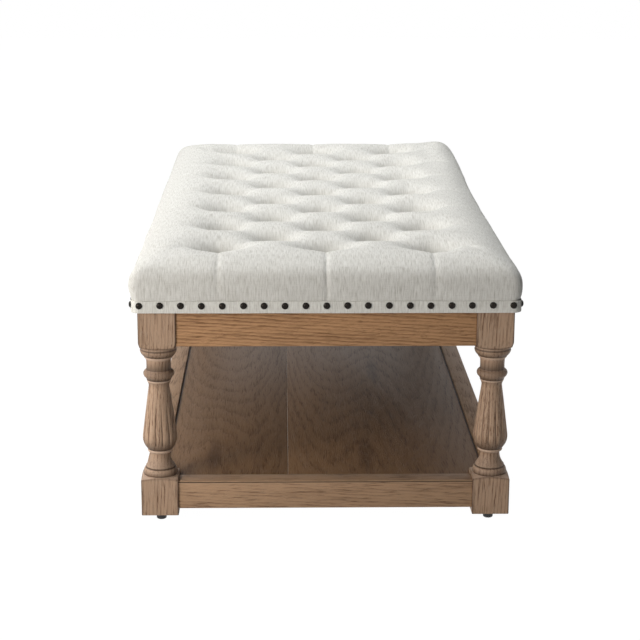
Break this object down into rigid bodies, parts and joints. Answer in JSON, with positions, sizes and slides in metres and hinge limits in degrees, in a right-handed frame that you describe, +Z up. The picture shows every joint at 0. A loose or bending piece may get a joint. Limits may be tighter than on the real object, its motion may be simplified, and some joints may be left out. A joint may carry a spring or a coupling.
{
  "type": "ottoman coffee table",
  "caption": "Long upholstered coffee table: diamond-tufted linen cushion with nailhead trim on turned and reeded wooden legs, with a low wooden shelf.",
  "frame": {"origin": "on the floor under the middle of the table", "axes": "+Z up, the long side along Y, the front short side at -Y"},
  "size_m": [0.6644, 1.3964, 0.47],
  "materials": {
    "leg_wood": "grey-brown wire-brushed wood, dark glaze in the turnings, satin",
    "rail_wood": "warm brown stained wood with a straight grain, satin",
    "shelf_wood": "brown stained wide boards with knots, satin",
    "inner_wood": "plain planed softwood",
    "deck_ply": "thin plywood",
    "linen": "off-white slubbed linen",
    "foam": "firm upholstery foam",
    "dust_cloth": "thin black spun cloth",
    "nail_bronze": "antique bronze, domed",
    "screw_steel": "zinc plated",
    "glide_black": "matt black"
  },
  "bodies": {
    "root": {"apron_back": "rail_wood", "apron_cross_rail_back": "inner_wood", "apron_cross_rail_front": "inner_wood", "apron_front": "rail_wood", "apron_left": "rail_wood", "apron_right": "rail_wood", "corner_block_back_left": "inner_wood", "corner_block_back_right": "inner_wood", "corner_block_front_left": "inner_wood", "corner_block_front_right": "inner_wood", "cushion_cover": "linen", "deck_board": "deck_ply", "dust_cover": "dust_cloth", "foam_pad": "foam", "glides": "glide_black", "leg_back_left": "leg_wood", "leg_back_right": "leg_wood", "leg_front_left": "leg_wood", "leg_front_right": "leg_wood", "nails_back": "nail_bronze", "nails_front": "nail_bronze", "nails_left": "nail_bronze", "nails_right": "nail_bronze", "shelf_bearer": "inner_wood", "shelf_board_left": "shelf_wood", "shelf_board_right": "shelf_wood", "shelf_cleat_back": "inner_wood", "shelf_cleat_front": "inner_wood", "shelf_cleat_left": "inner_wood", "shelf_cleat_right": "inner_wood", "shelf_rail_back": "rail_wood", "shelf_rail_front": "rail_wood", "shelf_rail_left": "rail_wood", "shelf_rail_right": "rail_wood", "shelf_screws": "screw_steel", "top_fixing_screws": "screw_steel", "top_frame_back": "inner_wood", "top_frame_cross_back": "inner_wood", "top_frame_cross_front": "inner_wood", "top_frame_front": "inner_wood", "top_frame_left": "inner_wood", "top_frame_right": "inner_wood", "trim_band": "linen", "tuft_buttons": "linen"}
  },
  "joints": []
}
